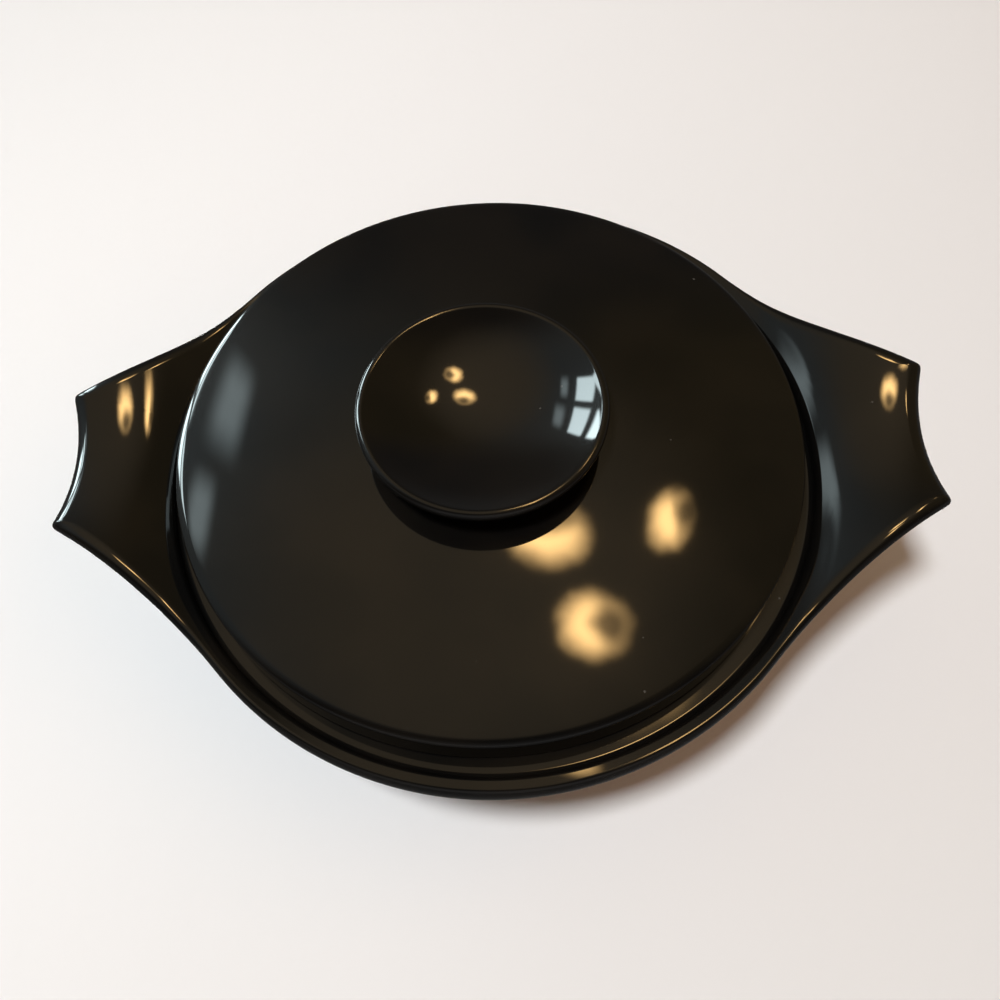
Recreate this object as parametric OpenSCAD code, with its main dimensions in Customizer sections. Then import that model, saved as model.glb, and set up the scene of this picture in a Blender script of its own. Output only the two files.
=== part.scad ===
// Covered casserole in black glazed stoneware: a round footed dish whose flared rim runs out
// into two fishtail handles, a domed lid that sits inside the rim, and a dished knob on the lid.
// Millimetres, +Z up, +X along the handles, origin on the table under the middle of the dish.

/* [Lid] */
// Diameter of the lid
lid_d = 196; // [184:1:208]
// Height of the lid's upright edge, from the ledge to the top of its corner
lid_edge = 12.1; // [8:0.1:16]
// Round of the corner along the top of the edge
lid_round = 1.2; // [0.8:0.1:2]
// Radius of the shoulder between the dome and that corner
lid_shoulder = 7; // [4:0.5:10]
// Slope at which the shoulder runs into the corner, in degrees
shoulder_angle = 27; // [20:1:36]
// Round along the bottom of the edge
lid_base_round = 1.2; // [0.5:0.1:2]
// Rise of the dome above the top of the edge
lid_rise = 8.3; // [6:0.1:18]
// Thickness of the dome
lid_wall = 6; // [4:0.5:8]
// Thickness of the upright edge, which rests on the ledge
lid_seat = 8; // [6:0.5:14]
// Gap between the lid's edge and the wall around it, with the lid in the middle
lid_gap = 3.8; // [3.2:0.1:5]
// How far the loose lid has slid toward the left handle
lid_left = 1; // [0:0.1:2]
// How far the loose lid has slid toward the back
lid_back = 2.5; // [0:0.1:2.8]

/* [Knob] */
// Diameter of the knob's rim
knob_d = 75.6; // [66:0.1:84]
// Height of the knob above the flat that it stands on
knob_h = 12.7; // [12:0.1:22]
// Thickness of the knob's rim
knob_rim = 3.4; // [2.4:0.1:5]
// Radius of the hollow in the top of the knob
hollow_r = 67.5; // [64:0.5:120]
// Diameter of the knob's foot
knob_foot_d = 46; // [36:1:54]
// Height of the straight band at the knob's foot
knob_band = 1.6; // [0.8:0.1:2.4]
// Radius of the cove between the knob's foot and its rim
cove_r = 90; // [50:1:200]

/* [Bowl] */
// Height of the ledge that carries the lid
ledge_h = 60; // [50:1:90]
// Width of the ledge
ledge_w = 11.8; // [10:0.2:14]
// Thickness of the bowl's wall and floor
wall = 6.5; // [5:0.5:9]
// Inside radius of the turn from the wall to the floor
turn_r = 45; // [25:1:50]
// Round on the inner edge of the ledge
mouth_round = 1; // [0.5:0.1:1.5]
// Fillet in the corner between the ledge and the wall around the lid
ledge_fillet = 1; // [0.4:0.1:1.5]

/* [Foot] */
// Diameter of the foot ring, measured along its middle
foot_d = 120; // [96:1:140]
// Width of the foot ring where it stands
foot_w = 6; // [4:0.5:10]
// Clear height under the floor, inside the foot ring
foot_h = 1.6; // [1:0.2:4]
// Taper of the foot ring's sides, in degrees
foot_taper = 20; // [0:1:35]

/* [Rim] */
// Height of the wall around the lid, above the ledge
wall_h = 3.6; // [2.4:0.2:8]
// Width of the rim outside that wall
rim_w = 5.4; // [4.5:0.1:10]
// Round along the top of that wall
crest_r = 1.2; // [0.6:0.1:1.6]
// Thickness of the rim and the handles along their edge
edge_t = 7.4; // [5:0.2:9]
// Reach of the round along that edge, on the handles
edge_round = 4.6; // [2:0.1:5]
// Largest share of the rim's width that the round takes
edge_share = 0.5; // [0.4:0.05:0.75]
// Height of the root where the flare grows out of the bowl, below the ledge
root_h = 11; // [9:0.5:18]

/* [Handles] */
// How far the tips stand out beyond the rim
reach = 29; // [16:0.1:40]
// Width across the two tips of a handle
tail_w = 48.2; // [38:0.1:64]
// Radius of the hollow end between the tips
tail_r = 94; // [60:1:200]
// Radius of the hollow sides
waist_r = 211; // [130:1:320]
// Slope at which a handle sweeps up from the wall around the lid, in degrees
sweep_angle = 28; // [10:1:40]
// How far a handle keeps that slope before it starts to level off
sweep_run = 4.5; // [0:0.5:8]
// Radius of that sweep, which levels off toward the handle's end
sweep_r = 53; // [50:1:120]
// How far the tips curl up above the middle of the handle
tip_lift = 3.5; // [0:0.1:6]
// Softness of the tips, seen from above
tip_soft = 0.8; // [0.5:0.1:2]

/* [Hidden] */
$fn = 180;
glaze = [0.06, 0.06, 0.065];

// Lid: the dome's arc runs into the shoulder, and the shoulder into the corner of the edge.
lid_r = lid_d / 2;
lid_at = [-lid_left, lid_back, 0];
lean = [sin(shoulder_angle), cos(shoulder_angle)];
corner = [lid_r - lid_round, ledge_h + lid_edge - lid_round];
corner_top = corner + lid_round * lean;
shoulder = corner - (lid_shoulder - lid_round) * lean;
crown_z = ledge_h + lid_edge + lid_rise;
drop = crown_z - shoulder[1];
dome_r = (shoulder[0]^2 + drop^2 - lid_shoulder^2) / (2 * (drop - lid_shoulder));
dome_z = crown_z - dome_r;
dome_a = asin(shoulder[0] / (dome_r - lid_shoulder));
dome_end = [dome_r * sin(dome_a), dome_z + dome_r * cos(dome_a)];
pad_z = dome_z + sqrt(dome_r^2 - (knob_foot_d / 2)^2);

// Knob: the hollow and the cove are both tangent to the round of the rim.
bead_r = knob_rim / 2;
bead = [knob_d / 2 - bead_r, pad_z + knob_h - bead_r];
hollow_z = bead[1] + sqrt((hollow_r + bead_r)^2 - bead[0]^2);
bead_top = bead + bead_r * [-bead[0], hollow_z - bead[1]] / (hollow_r + bead_r);
band_top = [knob_foot_d / 2, pad_z + knob_band];
cove = meet(band_top, cove_r, bead, cove_r + bead_r);

// Bowl: one wall thickness from the mouth round to the floor.
seat_r = lid_r + lid_gap;
mouth_r = seat_r - ledge_w;
body_r = mouth_r + wall;
floor_z = foot_h + wall;
turn = min(turn_r, ledge_h - mouth_round - floor_z);
turn_c = [mouth_r - turn, floor_z + turn];

// Rim and handles, seen from above: round rim, hollow sides, hollow ends.
rim_r = seat_r + rim_w;
tip = [rim_r + reach, tail_w / 2];
tip_a = atan2(tip[1], tip[0]);
side_c = rim_r + waist_r;
side_a = tip_a + acos((side_c^2 + tip * tip - waist_r^2) / (2 * side_c * norm(tip)));
tail_c = tip[0] + sqrt(tail_r^2 - tip[1]^2);
crest_z = ledge_h + wall_h;
bite = 0.8;
overlap = 0.3;
run_r = seat_r + sweep_run;
level_r = run_r + sweep_r * sin(sweep_angle);
root_z = ledge_h - root_h;
root = [bowl_x(root_z) - bite, root_z];

// Crossing, to the right of the line from p to q, of a circle round p and a circle round q.
function meet(p, rp, q, rq) =
    let(d = norm(q - p), u = (q - p) / d, a = (rp^2 - rq^2 + d^2) / (2 * d))
    p + a * u + sqrt(rp^2 - a^2) * [u[1], -u[0]];

// The smaller of two radii, with the corner between them softened.
function soft_min(a, b) = min(a, b) - tip_soft * ln(1 + exp(-abs(a - b) / tip_soft));

// Direction a folded into the first quarter, since the plan is the same in all four.
function fold(a) = let(b = abs((a + 180) % 360 - 180)) b > 90 ? 180 - b : b;

function side_edge(a) = let(d = side_a - a)
    d <= 0 ? rim_r : side_c * cos(d) - sqrt(max(0, waist_r^2 - (side_c * sin(d))^2));
function tail_edge(a) = tail_c * cos(a) - sqrt(max(0, tail_r^2 - (tail_c * sin(a))^2));
function edge_at(a) = a > 2 * tip_a ? side_edge(a) : soft_min(side_edge(a), tail_edge(a));
function outline(a) = edge_at(fold(a));

// Outside of the bowl at height z.
function bowl_x(z) = z > turn_c[1] ? body_r : turn_c[0] + sqrt((turn + wall)^2 - (turn_c[1] - z)^2);

// Height of the upper surface: level along the front and the back, swept up toward the handles,
// with the tips curled up.
function bow(r) = sqrt(max(0, sweep_r^2 - (level_r - r)^2)) - sweep_r * cos(sweep_angle);
function sweep(r) = tan(sweep_angle) * (min(r, run_r) - seat_r) + (r > run_r ? bow(r) : 0);
function curl(x, y) = tip_lift * (y / tip[1])^2 * (max(0, abs(x) - mouth_r) / (tip[0] - mouth_r))^2;
function upper(r, a) = crest_z + (1 - sin(a)^4) * sweep(r) + curl(r * cos(a), r * sin(a));

// Directions of the cross-sections in a quarter, closest together round a tip.
tip_steps = [0, 0.4, 0.7, 0.86, 0.95, 1.03, 1.12, 1.28, 1.5, 1.75];
sides = 7;
arcs = 7;
quarter = concat(
    [for (s = tip_steps) s * tip_a],
    [for (i = [1:sides]) let(b = tip_steps[len(tip_steps) - 1] * tip_a) b + (side_a - b) * i / sides],
    [for (i = [1:arcs]) side_a + (90 - side_a) * i / arcs]);
count = len(quarter);
directions = concat(
    quarter,
    [for (i = [count - 2:-1:0]) 180 - quarter[i]],
    [for (i = [1:count - 1]) 180 + quarter[i]],
    [for (i = [count - 2:-1:1]) 360 - quarter[i]]);

// Cross-section of the rim in direction a, as [radius, height]: root, underside, edge, top, crest.
bend_out = 0.15;
bend_up = 0.55;
crest_turn = 75;
under_steps = 4;
round_steps = 6;
top_steps = 5;
crest_steps = 3;
function section(a) =
    let(
        r = outline(a),
        turned = (outline(a + 0.2) - outline(a - 0.2)) / (0.4 * PI / 180) / r,
        inner = seat_r + crest_r,
        e = r - min(edge_round * sqrt(1 + turned^2), edge_share * (r - inner)),
        z = upper(e, a),
        slope = (upper(e + 0.1, a) - upper(e - 0.1, a)) / 0.2,
        pitch = (upper(inner + 0.1, a) - upper(inner - 0.1, a)) / 0.2,
        lip = [e, z - edge_t],
        bend = [body_r + bend_out * (lip[0] - body_r), root[1] + bend_up * (lip[1] - root[1])])
    concat(
        [for (i = [0:under_steps - 1]) let(u = i / under_steps)
            (1 - u)^2 * root + 2 * u * (1 - u) * bend + u^2 * lip],
        [for (i = [0:round_steps]) let(t = -90 + 180 * i / round_steps, x = (r - e) * cos(t))
            [e + x, z - edge_t / 2 + slope * x + edge_t / 2 * sin(t)]],
        [for (i = [1:top_steps]) let(x = e + (inner - e) * i / top_steps) [x, upper(x, a)]],
        [for (i = [1:crest_steps]) let(t = crest_turn * i / crest_steps)
            [inner - crest_r * sin(t) - overlap * (i / crest_steps)^2,
             upper(inner, a) - crest_r * (pitch * sin(t) + 1 - cos(t))]],
        [[mouth_r + wall / 2, ledge_h - 1]]);

module rim_and_handles() {
    rings = [for (a = directions) section(a)];
    n = len(rings);
    m = len(rings[0]);
    points = [for (i = [0:n - 1]) for (p = rings[i])
        [p[0] * cos(directions[i]), p[0] * sin(directions[i]), p[1]]];
    faces = [for (i = [0:n - 1]) for (j = [0:m - 1])
        let(here = i * m, next = ((i + 1) % n) * m, k = (j + 1) % m)
        each [[here + j, here + k, next + j], [here + k, next + k, next + j]]];
    polyhedron(points, faces);
}

// Half outline of the bowl, a given thickness outside the hollow.
module bowl_half(t, top) {
    intersection() {
        translate(turn_c) circle(turn + t);
        translate([turn_c[0], 0]) square([turn + t, turn_c[1]]);
    }
    translate([0, floor_z - t]) square([turn_c[0], top - floor_z + t]);
    translate([0, turn_c[1]]) square([mouth_r + t, top - turn_c[1]]);
}

module foot_half() {
    spread = foot_h * 3 * tan(foot_taper);
    translate([foot_d / 2, 0])
        polygon([[-foot_w / 2, 0], [foot_w / 2, 0],
            [foot_w / 2 + spread, foot_h * 3], [-foot_w / 2 - spread, foot_h * 3]]);
}

// Everything that is open: the bowl, the recess for the lid and the rounds of the ledge.
module hollow_half(top) {
    bowl_half(0, top);
    difference() {
        translate([0, ledge_h]) square([seat_r, top - ledge_h]);
        difference() {
            translate([seat_r - ledge_fillet, ledge_h]) square(ledge_fillet);
            translate([seat_r - ledge_fillet, ledge_h + ledge_fillet]) circle(ledge_fillet);
        }
    }
    difference() {
        translate([mouth_r, ledge_h - mouth_round]) square(mouth_round);
        translate([mouth_r + mouth_round, ledge_h - mouth_round]) circle(mouth_round);
    }
}

module dish() {
    color(glaze)
    difference() {
        union() {
            rotate_extrude() {
                bowl_half(wall, ledge_h + 2);
                foot_half();
            }
            rim_and_handles();
        }
        rotate_extrude() hollow_half(crest_z + sweep_r);
    }
}

module lid() {
    color(glaze)
    translate(lid_at)
    rotate_extrude()
    difference() {
        union() {
            intersection() {
                translate([0, dome_z]) circle(dome_r, $fn = 1080);
                translate([0, dome_end[1]]) square([dome_end[0], pad_z - dome_end[1]]);
            }
            intersection() {
                translate(shoulder) circle(lid_shoulder, $fn = 360);
                polygon([shoulder, 2 * dome_end - shoulder, 2 * corner_top - shoulder]);
            }
            translate(corner) circle(lid_round);
            polygon([[0, ledge_h + lid_base_round], [lid_r, ledge_h + lid_base_round],
                [lid_r, corner[1]], corner_top, dome_end, [0, dome_end[1]]]);
            translate([lid_r - lid_base_round, ledge_h + lid_base_round]) circle(lid_base_round);
            translate([0, ledge_h]) square([lid_r - lid_base_round, lid_base_round]);
        }
        intersection() {
            translate([0, dome_z]) circle(dome_r - lid_wall, $fn = 1080);
            translate([0, ledge_h - 1]) square([lid_r - lid_seat, lid_edge + lid_rise]);
        }
    }
}

module knob() {
    color(glaze)
    translate(lid_at)
    rotate_extrude()
    difference() {
        union() {
            polygon([[0, pad_z], [knob_foot_d / 2, pad_z], band_top, bead, bead_top, [0, bead_top[1]]]);
            translate(bead) circle(bead_r);
        }
        translate([0, hollow_z]) circle(hollow_r, $fn = 360);
        translate(cove) circle(cove_r, $fn = 360);
    }
}

dish();
lid();
knob();
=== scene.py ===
from math import acos, asin, atan2, cos, degrees, exp, hypot, log, pi, radians, sin, sqrt, tan

import bmesh
import bpy
from mathutils import Matrix, Vector


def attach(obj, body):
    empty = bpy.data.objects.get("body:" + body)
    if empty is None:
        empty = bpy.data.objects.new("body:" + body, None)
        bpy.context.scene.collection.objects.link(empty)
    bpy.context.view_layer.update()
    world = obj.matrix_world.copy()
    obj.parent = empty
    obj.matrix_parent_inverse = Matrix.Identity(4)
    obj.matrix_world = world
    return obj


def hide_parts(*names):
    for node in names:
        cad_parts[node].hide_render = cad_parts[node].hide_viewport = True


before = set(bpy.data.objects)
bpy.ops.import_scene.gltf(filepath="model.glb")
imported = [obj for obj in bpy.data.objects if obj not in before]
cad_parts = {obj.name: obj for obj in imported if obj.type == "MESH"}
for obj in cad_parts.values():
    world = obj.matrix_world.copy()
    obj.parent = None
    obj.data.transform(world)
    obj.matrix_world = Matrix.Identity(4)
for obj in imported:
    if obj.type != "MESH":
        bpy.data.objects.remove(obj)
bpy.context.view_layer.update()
scene = bpy.context.scene
mm = 0.001
weldDist = 1e-6    # points closer than this become one, in metres
speckDist = 1e-7   # anything shorter than this counts as nothing
print("frame loaded:", ", ".join(sorted(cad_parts)))


# a pen draws half an outline in the XZ plane, radius and height in millimetres
def startPen(bm, r, z):
    return bm.verts.new((r * mm, 0, z * mm))


def stopsAlong(pieces, close=0):
    # shares of a run where an edge lies, close adds one near each end to keep the shading flat
    stops = [i / pieces for i in range(1, pieces + 1)]
    return sorted(stops + [close, 1 - close]) if close else stops


def lineTo(bm, pen, r, z, pieces=1, hold=0):
    # hold: how near to its ends the run gets one more edge
    start, end = pen.co.copy(), Vector((r * mm, 0, z * mm))
    for share in stopsAlong(pieces, hold * mm / (end - start).length):
        pen = bmesh.ops.extrude_vert_indiv(bm, verts=[pen])["verts"][0]
        pen.co = start.lerp(end, share)
    return pen


def arcTo(bm, pen, centre, turn, pieces):
    # turn in degrees, anticlockwise with the radius to the right and the height up
    swung = bmesh.ops.spin(bm, geom=[pen], cent=(centre[0] * mm, 0, centre[1] * mm), axis=(0, -1, 0),
                           angle=radians(turn), steps=pieces)
    return [g for g in swung["geom_last"] if isinstance(g, bmesh.types.BMVert)][0]


def spinRound(bm, at, steps):
    # turns the drawn outline once round Z and sets it over its place
    bmesh.ops.spin(bm, geom=bm.verts[:] + bm.edges[:], axis=(0, 0, 1), angle=2 * pi, steps=steps,
                   use_merge=True)
    bmesh.ops.remove_doubles(bm, verts=bm.verts, dist=weldDist)
    bmesh.ops.translate(bm, verts=bm.verts, vec=(at[0] * mm, at[1] * mm, 0))


def finishPiece(bm, name, body, node, material):
    bmesh.ops.dissolve_degenerate(bm, edges=bm.edges, dist=speckDist)
    bmesh.ops.recalc_face_normals(bm, faces=bm.faces)
    for face in bm.faces:
        face.smooth = True
    mesh = bpy.data.meshes.new(name)
    bm.to_mesh(mesh)
    bm.free()
    mesh.materials.append(material)
    piece = bpy.data.objects.new(name, mesh)
    scene.collection.objects.link(piece)
    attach(piece, body)
    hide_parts(node)
    print(name, "made:", len(mesh.polygons), "faces")


class Wire:
    # a socket that takes part in sums with other sockets and with numbers

    def __init__(self, recipe, socket):
        self.recipe = recipe
        self.socket = socket

    def also(self, output):
        # another output of the same node
        return Wire(self.recipe, self.socket.node.outputs[output])

    def sum(self, operation, first, second):
        return self.recipe.node("ShaderNodeMath", {"operation": operation}, {0: first, 1: second})

    def __add__(self, other):
        return self.sum("ADD", self, other)

    def __radd__(self, other):
        return self.sum("ADD", other, self)

    def __sub__(self, other):
        return self.sum("SUBTRACT", self, other)

    def __rsub__(self, other):
        return self.sum("SUBTRACT", other, self)

    def __mul__(self, other):
        return self.sum("MULTIPLY", self, other)

    def __rmul__(self, other):
        return self.sum("MULTIPLY", other, self)

    def __gt__(self, other):
        return self.sum("GREATER_THAN", self, other)

    def __lt__(self, other):   # what Python asks for in number > socket
        return self.sum("LESS_THAN", self, other)


class Recipe:
    # one node tree, written as a list of nodes

    def __init__(self, tree):
        self.tree = tree
        tree.nodes.clear()

    def node(self, kind, settings, sockets, output=0):
        made = self.tree.nodes.new(kind)
        for key, value in settings.items():
            setattr(made, key, value)
        for key, value in sockets.items():
            if isinstance(value, Wire):
                self.tree.links.new(value.socket, made.inputs[key])
            else:
                made.inputs[key].default_value = value
        if made.outputs:
            return Wire(self, made.outputs[output])

    def ramp(self, value, low, high):
        # 0 below low, 1 above high, smooth between
        return self.node("ShaderNodeMapRange", {"interpolation_type": "SMOOTHSTEP"},
                         {"Value": value, "From Min": low, "From Max": high})

    def blendColours(self, factor, first, second):
        # sockets 6, 7 and output 2 are the colour ones of a Mix node
        return self.node("ShaderNodeMix", {"data_type": "RGBA"},
                         {"Factor": factor, 6: first, 7: second}, 2)

    def vectors(self, operation, *values):
        gives = "Value" if operation in ("DOT_PRODUCT", "LENGTH", "DISTANCE") else "Vector"
        return self.node("ShaderNodeVectorMath", {"operation": operation}, dict(enumerate(values)), gives)

    def axis(self, vector, letter):
        return self.node("ShaderNodeSeparateXYZ", {}, {"Vector": vector}, letter)


glazeLook = {
    "thick": (0.0024, 0.0023, 0.0022, 1),   # where the glaze lies deep
    "thin": (0.0055, 0.0044, 0.0033, 1),    # where it runs thin
    "pit": (0.05, 0.047, 0.042, 1),         # pinholes and specks
    "clay": (0.42, 0.31, 0.21, 1),          # bare clay that stands on the kiln shelf
    "clayDark": (0.3, 0.2, 0.125, 1),
    # patterns, their scales in repeats per metre
    "pools": {"Scale": 26.0, "Detail": 2.0, "Roughness": 0.5},
    "waves": {"Scale": 48.0, "Detail": 0.0},
    "peel": {"Scale": 190.0, "Detail": 2.0, "Roughness": 0.55},
    "grain": {"Scale": 1300.0, "Detail": 1.0, "Roughness": 0.6},
    "pits": {"Scale": 150.0},
    "rings": {"Scale": 98.0, "Distortion": 0.6, "Detail": 1.0, "Detail Scale": 1.5},
    # where each pattern starts and ends to show
    "poolEdge": (0.35, 0.7), "clayEdge": (0.4, 0.65), "pitEdge": (0.03, 0.07), "pitFrom": 0.86,
    # relief of the fired surface in millimetres
    "waveHigh": 0.2, "peelHigh": 0.012, "grainHigh": 0.012, "ringHigh": 0.003, "pitDeep": 0.05,
    "clayHigh": 0.08,
    "wipeSoft": 0.2, "wipeWander": 0.6,     # edge of the wiped foot in millimetres
    "rough": 0.34, "roughSpread": 0.12, "pitRough": 0.3, "clayRough": 0.85,
    "ior": 1.5, "underGloss": 0.02, "coatRough": 0.045,
}


def makeGlaze(name, shape):
    look = glazeLook
    material = bpy.data.materials.new(name)
    material.use_nodes = True
    r = Recipe(material.node_tree)
    here = r.node("ShaderNodeTexCoord", {}, {}, "Object")
    # glazeShift gives each piece its own part of the patterns
    place = r.node("ShaderNodeMapping", {}, {"Vector": here, "Location": shape["glazeShift"]})

    pools, waves, peel, grain = [
        r.node("ShaderNodeTexNoise", {}, {"Vector": place, **look[pattern]})
        for pattern in ("pools", "waves", "peel", "grain")]
    cell = r.node("ShaderNodeTexVoronoi", {}, {"Vector": place, **look["pits"]})
    pick = r.node("ShaderNodeSeparateColor", {}, {"Color": cell.also("Color")}, "Red")
    pit = (1 - r.ramp(cell, *look["pitEdge"])) * (pick > look["pitFrom"])

    # turning marks run round the piece's own axis
    axisX, axisY = shape["at"]
    turned = r.node("ShaderNodeMapping", {}, {"Vector": here, "Location": (-axisX * mm, -axisY * mm, 0)})
    rings = r.node("ShaderNodeTexWave", {"wave_type": "RINGS", "rings_direction": "Z"},
                   {"Vector": turned, **look["rings"]}, "Fac")

    # the clay is wiped clean below bareTop
    height = r.axis(here, "Z") + (peel - 0.5) * (look["wipeWander"] * mm)
    bare = 1 - r.ramp(height, (shape["bareTop"] - look["wipeSoft"]) * mm,
                      (shape["bareTop"] + look["wipeSoft"]) * mm)

    glazed = r.blendColours(r.ramp(pools, *look["poolEdge"]), look["thick"], look["thin"])
    glazed = r.blendColours(pit, glazed, look["pit"])
    clay = r.blendColours(r.ramp(grain, *look["clayEdge"]), look["clay"], look["clayDark"])

    skin = waves * look["waveHigh"] + peel * look["peelHigh"] + grain * look["grainHigh"]
    skin = skin + rings * look["ringHigh"] - pit * look["pitDeep"]
    relief = skin * (1 - bare) + grain * bare * look["clayHigh"]
    rough = look["rough"] + (peel - 0.5) * look["roughSpread"] + pit * look["pitRough"]
    shader = r.node("ShaderNodeBsdfPrincipled", {}, {
        "Base Color": r.blendColours(bare, glazed, clay),
        "Roughness": rough * (1 - bare) + bare * look["clayRough"],
        "IOR": look["ior"],
        "Specular IOR Level": look["underGloss"],
        "Coat Weight": 1 - bare,
        "Coat Roughness": look["coatRough"],
        "Coat IOR": look["ior"],
        "Normal": r.node("ShaderNodeBump", {}, {"Height": relief, "Strength": 1.0, "Distance": mm}),
    })
    r.node("ShaderNodeOutputMaterial", {}, {"Surface": shader})
    return material


dishShape = {
    "at": (0, 0), "ledgeHigh": 60.0, "seatR": 101.8, "mouthR": 90.0, "wall": 6.5, "turnR": 45.0,
    "mouthRound": 1.0, "ledgeFillet": 2.0,   # the glaze pools in the corner
    "footD": 120.0, "footW": 6.0, "footHigh": 1.6, "footTaper": 20.0, "footRound": 0.8,
    "footEase": 0.4,                         # share of the foot's round that shows at its sides
    "footMeet": 4.0,                         # height at which the foot runs into the bowl
    "wallHigh": 3.6, "rimW": 5.4, "crestR": 1.2, "edgeThick": 7.4, "edgeRound": 4.6, "edgeShare": 0.5,
    "rootLow": 11.0, "rootSunk": 0.3,
    "underBend": (0.15, 0.55),               # how far out and up the underside bends
    # handles: the outline past the rim, then how the upper face climbs
    "reach": 29.0, "tailW": 48.2, "tailR": 94.0, "waistR": 211.0, "tipSoft": 0.8,
    "sweepAngle": 28.0, "sweepRun": 4.5, "sweepR": 53.0, "tipLift": 3.5,
    "bareTop": 0.9, "glazeShift": (0, 0, 0),
    # how finely each run is cut
    "steps": 136, "flatPieces": 6, "footPieces": 3, "bowlPieces": 22, "underPieces": 9, "edgePieces": 14,
    "topPieces": 14, "crestPieces": 6, "filletPieces": 8, "ledgePieces": 4, "mouthPieces": 5,
    "wallPieces": 3, "insidePieces": 20,
    "tipCrowd": [(0.16, 0.84), (0.42, 1.14), (0.58, 1.75)],   # share of the steps, of the turn to the tip
    "waistShare": 0.78,                      # share of the steps up to where the handle leaves the rim
    "hold": 0.15, "topHold": 0.012,          # edges that keep the shading flat
}
underPart, edgePart, topPart, crestPart = 1, 2, 3, 4   # runs of the rim, 0 is the rest of the dish


class RimPlan:
    # where the rim and handles lie in any direction round the dish
    probe = 0.1          # millimetres either way to find a slope
    probeTurn = 0.002    # the same in radians

    def __init__(self, d):
        self.d = d
        self.rimR = d["seatR"] + d["rimW"]
        self.tip = (self.rimR + d["reach"], d["tailW"] / 2)
        self.tipTurn = atan2(self.tip[1], self.tip[0])
        far = hypot(*self.tip)
        self.sideC = self.rimR + d["waistR"]
        self.sideTurn = self.tipTurn + acos((self.sideC ** 2 + far ** 2 - d["waistR"] ** 2)
                                            / (2 * self.sideC * far))
        self.tailC = self.tip[0] + sqrt(d["tailR"] ** 2 - self.tip[1] ** 2)
        self.crestZ = d["ledgeHigh"] + d["wallHigh"]
        self.slope = radians(d["sweepAngle"])
        self.levelR = d["seatR"] + d["sweepRun"] + d["sweepR"] * sin(self.slope)
        self.rootZ = d["ledgeHigh"] - d["rootLow"]
        self.bodyR = d["mouthR"] + d["wall"]
        self.stops = [(0, 0)] + [(share, way * self.tipTurn) for share, way in d["tipCrowd"]]
        self.stops += [(d["waistShare"], self.sideTurn), (1, pi / 2)]

    def outline(self, a):
        # two arcs: the hollow side and the hollow tail, blended softly at the tip
        a = abs(a)
        away = self.sideTurn - a
        side = self.rimR
        if away > 0:
            side = self.sideC * cos(away) - sqrt(self.d["waistR"] ** 2 - (self.sideC * sin(away)) ** 2)
        if a > 2 * self.tipTurn:
            return side
        tail = self.tailC * cos(a) - sqrt(self.d["tailR"] ** 2 - (self.tailC * sin(a)) ** 2)
        soft = self.d["tipSoft"]
        return min(side, tail) - soft * log(1 + exp(-abs(side - tail) / soft))

    def upper(self, r, a):
        # height of the upper face: a straight run, a bow, and the tips curled up
        d = self.d
        lift = tan(self.slope) * min(r - d["seatR"], d["sweepRun"])
        if r > d["seatR"] + d["sweepRun"]:
            lift += sqrt(d["sweepR"] ** 2 - (self.levelR - r) ** 2) - d["sweepR"] * cos(self.slope)
        out = max(0, r * cos(a) - d["mouthR"]) / (self.tip[0] - d["mouthR"])
        curl = d["tipLift"] * (r * sin(a) / self.tip[1] * out) ** 2
        return self.crestZ + (1 - sin(a) ** 4) * lift + curl

    def slopeAt(self, r, a):
        return (self.upper(r + self.probe, a) - self.upper(r - self.probe, a)) / (2 * self.probe)

    def point(self, a, part, along):
        # radius and height of a place on the rim
        d = self.d
        r = self.outline(a)
        step = self.probeTurn
        skew = (self.outline(a + step) - self.outline(a - step)) / (2 * step) / r
        inner = d["seatR"] + d["crestR"]
        edgeR = r - min(d["edgeRound"] * sqrt(1 + skew ** 2), d["edgeShare"] * (r - inner))
        edgeZ = self.upper(edgeR, a)
        if part == underPart:
            lip = Vector((edgeR, edgeZ - d["edgeThick"]))
            root = Vector((self.bodyR - d["rootSunk"], self.rootZ))
            bendOut, bendUp = d["underBend"]
            bend = Vector((self.bodyR + bendOut * (lip.x - self.bodyR),
                           self.rootZ + bendUp * (lip.y - self.rootZ)))
            return (1 - along) ** 2 * root + 2 * along * (1 - along) * bend + along ** 2 * lip
        if part == edgePart:
            t = pi * (along - 0.5)
            x = (r - edgeR) * cos(t)
            return Vector((edgeR + x,
                           edgeZ + (sin(t) - 1) * d["edgeThick"] / 2 + self.slopeAt(edgeR, a) * x))
        if part == topPart:
            x = edgeR + (inner - edgeR) * along
            return Vector((x, self.upper(x, a)))
        t = pi / 2 * along
        drop = self.slopeAt(inner, a) * sin(t) + 1 - cos(t)
        return Vector((inner - d["crestR"] * sin(t), self.upper(inner, a) - d["crestR"] * drop))

    def crowd(self, t):
        # direction of a spun step, closest together round the tip
        for (t0, a0), (t1, a1) in zip(self.stops, self.stops[1:]):
            if t <= t1:
                return a0 + (a1 - a0) * (t - t0) / (t1 - t0)
        return pi / 2


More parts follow.
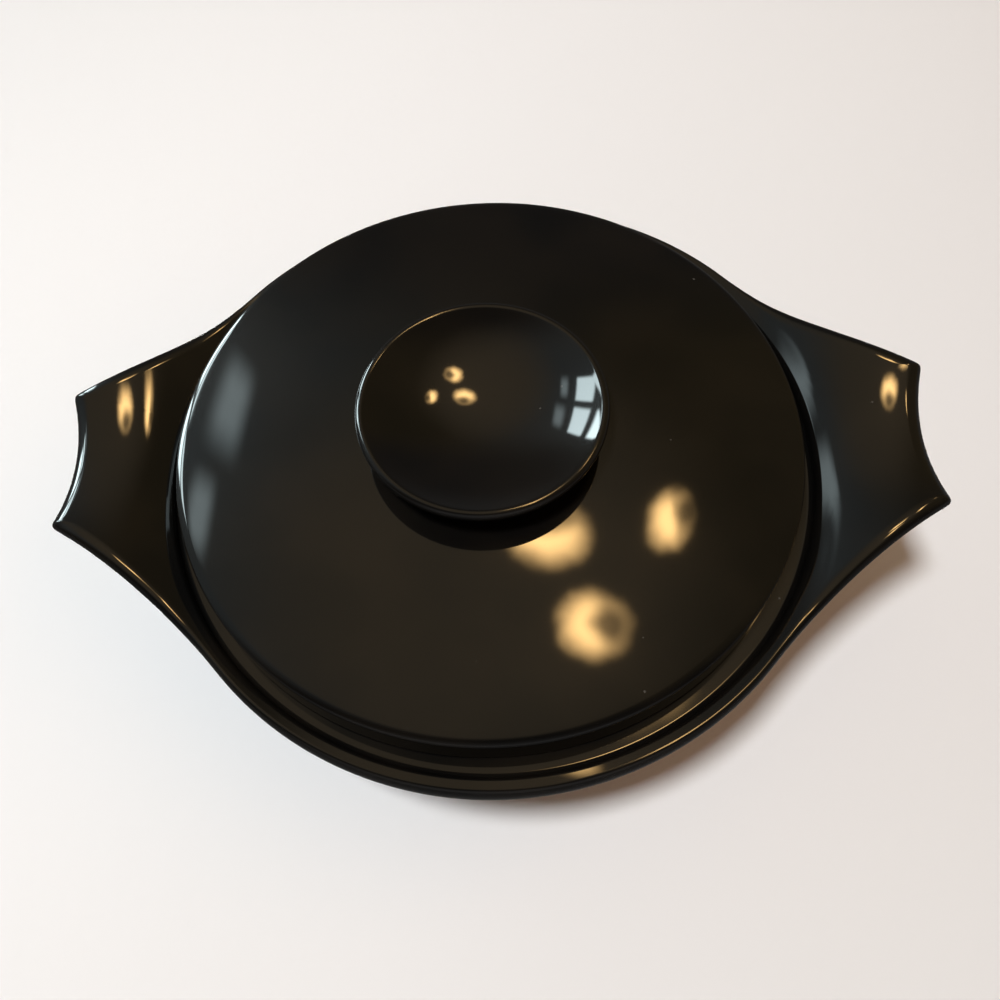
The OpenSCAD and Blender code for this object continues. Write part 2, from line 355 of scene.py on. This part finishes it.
def buildDish(d, material):
    # one outline spun a quarter turn, its rim pulled out into a handle, then mirrored
    plan = RimPlan(d)
    bm = bmesh.new()
    part = bm.verts.layers.int.new("part")
    along = bm.verts.layers.float.new("along")
    floorZ = d["footHigh"] + d["wall"]
    turnC = (d["mouthR"] - d["turnR"], floorZ + d["turnR"])
    outer = d["turnR"] + d["wall"]
    flare = d["footHigh"] * tan(radians(d["footTaper"]))
    footIn = d["footD"] / 2 - d["footW"] / 2
    footOut = d["footD"] / 2 + d["footW"] / 2
    easeZ = d["footRound"] * d["footEase"]

    # underside, foot ring and outside of the bowl
    pen = startPen(bm, 0, d["footHigh"])
    pen = lineTo(bm, pen, footIn - flare, d["footHigh"], d["flatPieces"])
    pen = lineTo(bm, pen, footIn, easeZ, d["footPieces"])
    pen = lineTo(bm, pen, footIn + d["footRound"], 0)
    pen = lineTo(bm, pen, footOut - d["footRound"], 0, d["footPieces"])
    pen = lineTo(bm, pen, footOut, easeZ)
    meetR = turnC[0] + sqrt(outer ** 2 - (turnC[1] - d["footMeet"]) ** 2)
    pen = lineTo(bm, pen, meetR, d["footMeet"], d["footPieces"])
    startAt = atan2(d["footMeet"] - turnC[1], meetR - turnC[0])
    endAt = -asin(max(0, turnC[1] - plan.rootZ) / outer)
    pen = arcTo(bm, pen, turnC, degrees(endAt - startAt), d["bowlPieces"])

    # rim: laid out straight here, put in its place by the plan after the spin
    marks = []
    runs = ((underPart, "underPieces"), (edgePart, "edgePieces"), (topPart, "topPieces"),
            (crestPart, "crestPieces"))
    for number, pieces in runs:
        for share in stopsAlong(d[pieces], d["topHold"] if number == topPart else 0):
            pen = lineTo(bm, pen, plan.bodyR + number, plan.rootZ + number + share)
            marks.append((pen, number, share))

    # recess wall, ledge, mouth and inside of the bowl
    filletR, filletZ = d["seatR"] - d["ledgeFillet"], d["ledgeHigh"] + d["ledgeFillet"]
    mouthR, mouthZ = d["mouthR"] + d["mouthRound"], d["ledgeHigh"] - d["mouthRound"]
    pen = lineTo(bm, pen, d["seatR"], filletZ + d["hold"])
    pen = lineTo(bm, pen, d["seatR"], filletZ)
    pen = arcTo(bm, pen, (filletR, filletZ), -90, d["filletPieces"])
    pen = lineTo(bm, pen, mouthR, d["ledgeHigh"], d["ledgePieces"], d["hold"])
    pen = arcTo(bm, pen, (mouthR, mouthZ), 90, d["mouthPieces"])
    pen = lineTo(bm, pen, d["mouthR"], turnC[1], d["wallPieces"], d["hold"])
    pen = arcTo(bm, pen, turnC, -90, d["insidePieces"])
    lineTo(bm, pen, 0, floorZ, d["flatPieces"])

    for vert, number, share in marks:
        vert[part] = number
        vert[along] = share
    bmesh.ops.spin(bm, geom=bm.verts[:] + bm.edges[:], axis=(0, 0, 1), angle=pi / 2, steps=d["steps"])

    # crowd the steps toward the tip and give the rim its shape
    for vert in bm.verts:
        r = hypot(vert.co.x, vert.co.y)
        if r < speckDist:
            continue
        a = plan.crowd(atan2(vert.co.y, vert.co.x) / (pi / 2))
        z = vert.co.z
        if vert[part]:
            place = plan.point(a, vert[part], vert[along])
            r, z = place.x * mm, place.y * mm
        vert.co = (r * cos(a), r * sin(a), z)
    for axis in "XY":
        bmesh.ops.mirror(bm, geom=bm.verts[:] + bm.edges[:] + bm.faces[:], axis=axis,
                         merge_dist=10 * weldDist)
    bmesh.ops.remove_doubles(bm, verts=bm.verts, dist=2 * weldDist)
    finishPiece(bm, "dishBody", "dish", "dish", material)


lidShape = {
    "at": (-1.0, 2.5), "r": 98.0, "base": 60.0, "edge": 12.1, "round": 1.2, "shoulderR": 7.0,
    "shoulderLean": 27.0, "baseRound": 1.2, "rise": 8.3, "wall": 6.0, "seat": 8.0,
    "bareTop": 60.4, "glazeShift": (0.37, 0.259, 0.148),
    "steps": 288, "domePieces": 56, "shoulderPieces": 8, "cornerPieces": 12, "edgePieces": 4,
    "basePieces": 6, "seatPieces": 2, "insidePieces": 30, "hold": 0.15,
}


def domeOf(s):
    # centres of the corner and the shoulder, then radius and centre height of the dome
    lean = Vector((sin(radians(s["shoulderLean"])), cos(radians(s["shoulderLean"]))))
    corner = Vector((s["r"] - s["round"], s["base"] + s["edge"] - s["round"]))
    shoulder = corner - (s["shoulderR"] - s["round"]) * lean
    crown = s["base"] + s["edge"] + s["rise"]
    drop = crown - shoulder.y
    radius = (shoulder.x ** 2 + drop ** 2 - s["shoulderR"] ** 2) / (2 * (drop - s["shoulderR"]))
    return corner, shoulder, radius, crown - radius


def buildLid(s, material):
    # a shallow dome with an upright edge that stands on the ledge
    corner, shoulder, radius, centreZ = domeOf(s)
    lean = degrees(asin(shoulder.x / (radius - s["shoulderR"])))
    inner = radius - s["wall"]
    skirtR = s["r"] - s["seat"]
    baseR, baseZ = s["r"] - s["baseRound"], s["base"] + s["baseRound"]

    bm = bmesh.new()
    pen = startPen(bm, 0, centreZ + radius)
    pen = arcTo(bm, pen, (0, centreZ), -lean, s["domePieces"])
    pen = arcTo(bm, pen, shoulder, lean - s["shoulderLean"], s["shoulderPieces"])
    pen = arcTo(bm, pen, corner, s["shoulderLean"] - 90, s["cornerPieces"])
    pen = lineTo(bm, pen, s["r"], baseZ, s["edgePieces"], s["hold"])
    pen = arcTo(bm, pen, (baseR, baseZ), -90, s["basePieces"])
    pen = lineTo(bm, pen, skirtR, s["base"], s["seatPieces"], s["hold"])
    pen = lineTo(bm, pen, skirtR, centreZ + sqrt(inner ** 2 - skirtR ** 2), s["seatPieces"], s["hold"])
    pen = arcTo(bm, pen, (0, centreZ), degrees(asin(skirtR / inner)), s["insidePieces"])
    pen.co.x = 0   # the arc ends on the axis
    spinRound(bm, s["at"], s["steps"])
    finishPiece(bm, "lidDome", "lid", "lid", material)


knobShape = {
    "at": lidShape["at"], "d": 75.6, "high": 12.7, "rim": 3.4, "hollowR": 67.5, "footD": 46.0,
    "band": 1.6, "coveR": 90.0,
    "flare": 1.1, "flareTurn": 78.0, "flareUnder": 0.985, "sunk": 0.35,   # slip spread onto the dome
    "bareTop": 1.0, "glazeShift": (0.81, 0.567, 0.324),                   # glazed all over
    "steps": 224, "hollowPieces": 36, "beadPieces": 32, "covePieces": 18, "bandPieces": 2,
    "flarePieces": 6, "padPieces": 4,
}


def buildKnob(s, lid, material):
    # a dished disc on a short foot, luted to the dome
    domeR, domeZ = domeOf(lid)[2:]
    footR = s["footD"] / 2
    padZ = domeZ + sqrt(domeR ** 2 - footR ** 2)
    beadR = s["rim"] / 2
    bead = Vector((s["d"] / 2 - beadR, padZ + s["high"] - beadR))
    hollowZ = bead.y + sqrt((s["hollowR"] + beadR) ** 2 - bead.x ** 2)
    lean = degrees(atan2(bead.x, hollowZ - bead.y))

    # the cove touches the bead and ends at the top of the foot band
    bandTop = Vector((footR, padZ + s["band"]))
    span = bead - bandTop
    gap = span.length
    span.normalize()
    reach = (s["coveR"] ** 2 - (s["coveR"] + beadR) ** 2 + gap ** 2) / (2 * gap)
    cove = bandTop + reach * span + sqrt(s["coveR"] ** 2 - reach ** 2) * Vector((span.y, -span.x))
    toCove, toBand, toBead = cove - bead, bandTop - cove, bead - cove
    beadTurn = atan2(toCove.y, toCove.x) - atan2(hollowZ - bead.y, -bead.x)
    coveTurn = atan2(toBand.y, toBand.x) - atan2(toBead.y, toBead.x)

    bm = bmesh.new()
    pen = startPen(bm, 0, hollowZ - s["hollowR"])
    pen = arcTo(bm, pen, (0, hollowZ), lean, s["hollowPieces"])
    pen = arcTo(bm, pen, bead, degrees(beadTurn), s["beadPieces"])
    pen = arcTo(bm, pen, cove, degrees(coveTurn), s["covePieces"])
    pen = lineTo(bm, pen, footR, padZ + s["flare"], s["bandPieces"])
    spread = footR + s["flare"]
    pen = arcTo(bm, pen, (spread, padZ + s["flare"]), s["flareTurn"], s["flarePieces"])
    pen = lineTo(bm, pen, spread * s["flareUnder"], padZ - s["sunk"])
    lineTo(bm, pen, 0, padZ - s["sunk"], s["padPieces"])
    spinRound(bm, s["at"], s["steps"])
    finishPiece(bm, "knobDished", "lid", "knob", material)


buildDish(dishShape, makeGlaze("dishGlaze", dishShape))
buildLid(lidShape, makeGlaze("lidGlaze", lidShape))
buildKnob(knobShape, lidShape, makeGlaze("knobGlaze", knobShape))


floorLook = {
    "half": 4.0, "low": 0.0002,                   # metres
    # pale to shade is a painted falloff of the light: the floor is painted lighter at the upper left and
    # darker to the right
    "pale": (0.9, 0.915, 0.93, 1), "shade": (0.71, 0.715, 0.72, 1), "far": (0.86, 0.855, 0.85, 1),
    "shadeWay": (0.77, -0.63, 0), "shadeEdge": (-0.3, 0.3),
    "cloud": {"Scale": 3.0, "Detail": 2.0}, "cloudSpread": 0.08,
    "farEdge": (0.4, 1.3),
}


def buildFloor(s):
    bm = bmesh.new()
    bmesh.ops.create_grid(bm, x_segments=2, y_segments=2, size=s["half"])
    bmesh.ops.translate(bm, verts=bm.verts, vec=(0, 0, -s["low"]))
    mesh = bpy.data.meshes.new("floor")
    bm.to_mesh(mesh)
    bm.free()
    floor = bpy.data.objects.new("floor", mesh)
    scene.collection.objects.link(floor)
    material = bpy.data.materials.new("paleFloor")
    material.use_nodes = True
    r = Recipe(material.node_tree)
    place = r.node("ShaderNodeTexCoord", {}, {}, "Object")
    cloud = r.node("ShaderNodeTexNoise", {}, {"Vector": place, **s["cloud"]})
    # painted shade: the floor's colour darkens along shadeWay, its edge made uneven by the cloud
    corner = r.vectors("DOT_PRODUCT", place, s["shadeWay"]) + (cloud - 0.5) * s["cloudSpread"]
    shader = r.node("ShaderNodeBsdfPrincipled", {}, {
        "Base Color": r.blendColours(r.ramp(corner, *s["shadeEdge"]), s["pale"], s["shade"]),
        "Roughness": 0.8, "Specular IOR Level": 0.2})
    # far from the dish the camera sees plain paper, no other ray does
    seen = r.node("ShaderNodeLightPath", {}, {}, "Is Camera Ray")
    paper = r.node("ShaderNodeEmission", {}, {"Color": s["far"], "Strength": 1.0})
    isFar = r.ramp(r.vectors("LENGTH", place), *s["farEdge"])
    mixed = r.node("ShaderNodeMixShader", {}, {0: isFar * seen, 1: shader, 2: paper})
    r.node("ShaderNodeOutputMaterial", {}, {"Surface": mixed})
    mesh.materials.append(material)
    floor.visible_glossy = False   # the glaze keeps its black edge
    print("floor laid")


buildFloor(floorLook)


# a soft key and a warm fill light the floor, the glaze shows three lamps, a window and a dim room
softLights = {
    "key": {"at": (-0.33, -0.31, 1.7), "across": 0.27, "colour": (0.98, 0.99, 1.0), "power": 26.8},
    "warm": {"at": (1.3, -0.1, 1.3), "across": 1.8, "colour": (1.0, 0.5, 0.25), "power": 7.2},
}
aim = Vector((0, 0, 0.07))
lampSet = {
    "lamps": [{"at": (0.63, 1.95), "across": (1.24, 1.16), "turn": 0, "hole": (0.03, 0.15)},
              {"at": (2.12, 2.2), "across": (0.68, 1.18), "turn": -24, "hole": (0.2, 0.16)},
              {"at": (1.1, 0.8), "across": (1.04, 1.04), "turn": 0, "hole": (0.15, 0.0)}],
    "high": 5.67, "colour": (1.0, 0.61, 0.23), "radiance": 34.0,
    # in shares of the lamp's width: where it fades, its hole, its dimmer side, how wavy it is
    "fade": (0.12, 0.49), "holeEdge": (0.06, 0.3), "holeLeft": 0.14, "sideEdge": (-0.01, 0.03),
    "sideLoss": 0.5, "wavy": 0.15, "wavyScale": 3.4, "wavyStep": 1.7,
}
windowSet = {
    "wallX": -1.5, "colour": (0.8, 0.97, 1.0),
    # fade: share of a pane that softens at its edge
    "panes": [{"along": (0.73, 1.29), "up": (1.26, 1.75), "radiance": 14.0, "fade": 0.14},
              {"along": (1.36, 2.22), "up": (1.26, 1.75), "radiance": 14.0, "fade": 0.14},
              {"along": (0.73, 1.29), "up": (0.5, 1.18), "radiance": 20.0, "fade": 0.14},
              {"along": (1.36, 2.22), "up": (0.5, 1.18), "radiance": 20.0, "fade": 0.14},
              {"along": (0.66, 1.32), "up": (1.9, 2.25), "radiance": 2.8, "fade": 0.4},
              {"along": (1.32, 2.3), "up": (1.88, 2.44), "radiance": 2.6, "fade": 0.4}],
}
roomLook = {
    # a colour for each side of the room, and between which shares of the view it fades in
    "left": (0.24, 0.27, 0.27, 1), "right": (0.13, 0.095, 0.04, 1), "rightEdge": (-0.6, 0.3),
    "back": (0.06, 0.055, 0.05, 1), "backEdge": (0.62, 0.86),
    "near": (0.02, 0.016, 0.012, 1), "nearEdge": (-0.4, 0.1),
    "front": (0.26, 0.255, 0.25, 1), "frontEdge": (-0.85, -0.4),
    "top": (0.42, 0.33, 0.21, 1), "topEdge": (0.84, 0.995), "topWay": (-0.06, 0.24, 0.97),
    "low": (0.11, 0.107, 0.104, 1), "lowEdge": (-0.02, 0.3),
}


def addAreaLight(name, shape, at, facing, across, colour, power):
    light = bpy.data.lights.new(name, "AREA")
    light.shape = shape
    light.size, light.size_y = across
    light.color = colour
    light.energy = power
    lamp = bpy.data.objects.new(name, light)
    scene.collection.objects.link(lamp)
    lamp.location = at
    lamp.rotation_euler = (-Vector(facing)).to_track_quat("Z", "Y").to_euler()
    return lamp


def softenLamp(light, hole, seed):
    # a soft uneven disc, bright on one side of its hole and dim on the other
    s = lampSet
    light.use_nodes = True
    r = Recipe(light.node_tree)
    across = r.node("ShaderNodeNewGeometry", {}, {}, "Parametric")
    wander = r.node("ShaderNodeTexNoise", {"noise_dimensions": "4D"},
                    {"Vector": across, "W": seed, "Scale": s["wavyScale"]}, "Color")
    middle = -0.5 - s["wavy"] / 2
    wander = r.vectors("MULTIPLY_ADD", wander, (s["wavy"], s["wavy"], 0), (middle, middle, 0))
    place = r.vectors("ADD", across, wander)
    toHole = r.vectors("DISTANCE", place, (*hole, 0))
    side = r.vectors("DOT_PRODUCT", place, (*hole, 0))
    glow = 1 - r.ramp(r.vectors("LENGTH", place), *s["fade"])
    glow = glow * (s["holeLeft"] + (1 - s["holeLeft"]) * r.ramp(toHole, *s["holeEdge"]))
    glow = glow * (1 - s["sideLoss"] * r.ramp(side, *s["sideEdge"]))
    r.node("ShaderNodeOutputLight", {}, {"Surface": r.node("ShaderNodeEmission", {}, {"Strength": glow})})


def softenPane(light, fade):
    light.use_nodes = True
    r = Recipe(light.node_tree)
    place = r.node("ShaderNodeNewGeometry", {}, {}, "Parametric")
    place = r.vectors("ABSOLUTE", r.vectors("SUBTRACT", place, (0.5, 0.5, 0)))
    along = r.axis(place, "X")
    glow = (1 - r.ramp(along, 0.5 - fade, 0.5)) * (1 - r.ramp(along.also("Y"), 0.5 - fade, 0.5))
    r.node("ShaderNodeOutputLight", {}, {"Surface": r.node("ShaderNodeEmission", {}, {"Strength": glow})})


for name, soft in softLights.items():
    light = addAreaLight(name, "ELLIPSE", soft["at"], aim - Vector(soft["at"]),
                         (soft["across"], soft["across"]), soft["colour"], soft["power"])
    light.visible_glossy = False
for i, lamp in enumerate(lampSet["lamps"]):
    area = pi * lamp["across"][0] * lamp["across"][1] / 4
    light = addAreaLight("lamp%d" % (i + 1), "ELLIPSE", (*lamp["at"], lampSet["high"]), (0, 0, -1),
                         lamp["across"], lampSet["colour"], lampSet["radiance"] * pi * area)
    light.rotation_euler = (0, 0, radians(lamp["turn"]))
    light.visible_diffuse = False
    softenLamp(light.data, lamp["hole"], lampSet["wavyStep"] * i)
for i, pane in enumerate(windowSet["panes"]):
    (left, right), (low, high) = pane["along"], pane["up"]
    wide, tall = right - left, high - low
    light = addAreaLight("pane%d" % (i + 1), "RECTANGLE",
                         (windowSet["wallX"], (left + right) / 2, (low + high) / 2), (1, 0, 0),
                         (wide, tall), windowSet["colour"], pane["radiance"] * pi * wide * tall)
    light.visible_diffuse = False
    softenPane(light.data, pane["fade"])


def buildRoom(s):
    world = bpy.data.worlds.new("room")
    scene.world = world
    world.use_nodes = True
    r = Recipe(world.node_tree)
    way = r.node("ShaderNodeTexCoord", {}, {}, "Generated")
    across = r.axis(way, "X")
    away, up = across.also("Y"), across.also("Z")
    colour = r.blendColours(r.ramp(across, *s["rightEdge"]), s["left"], s["right"])
    colour = r.blendColours(r.ramp(away, *s["backEdge"]), colour, s["back"])
    colour = r.blendColours(r.ramp(away, *s["nearEdge"]), s["near"], colour)
    colour = r.blendColours(r.ramp(away, *s["frontEdge"]), s["front"], colour)
    overhead = r.vectors("DOT_PRODUCT", way, s["topWay"])
    colour = r.blendColours(r.ramp(overhead, *s["topEdge"]), colour, s["top"])
    colour = r.blendColours(r.ramp(up, *s["lowEdge"]), s["low"], colour)
    # the camera sees the floor's paper go on behind the dish
    seen = r.node("ShaderNodeLightPath", {}, {}, "Is Camera Ray")
    colour = r.blendColours(seen, colour, floorLook["far"])
    r.node("ShaderNodeOutputWorld", {},
           {"Surface": r.node("ShaderNodeBackground", {}, {"Color": colour, "Strength": 1.0})})


buildRoom(roomLook)
print("lights set")


# fitted to the outlines of the lid, the knob and the rim, place in millimetres
cameraFit = {
    "at": (4.69, -165.92, 346.72), "towards": (-0.07179, 0.41328, -0.90777),
    "right": (0.99713, 0.00763, -0.07538), "sensor": 36.0, "lens": 36.677, "shift": (0.06896, 0.06745),
    "clip": (0.01, 50.0),   # metres
}


def addCamera(c):
    data = bpy.data.cameras.new("camera")
    data.sensor_width = c["sensor"]
    data.lens = c["lens"]
    data.shift_x, data.shift_y = c["shift"]
    data.clip_start, data.clip_end = c["clip"]
    camera = bpy.data.objects.new("camera", data)
    scene.collection.objects.link(camera)
    back = -Vector(c["towards"]).normalized()
    upward = back.cross(Vector(c["right"])).normalized()
    right = upward.cross(back)
    turn = Matrix((right, upward, back)).transposed()
    camera.matrix_world = Matrix.Translation(Vector(c["at"]) * mm) @ turn.to_4x4()
    scene.camera = camera


addCamera(cameraFit)
scene.view_settings.view_transform = "Standard"
print("camera set")
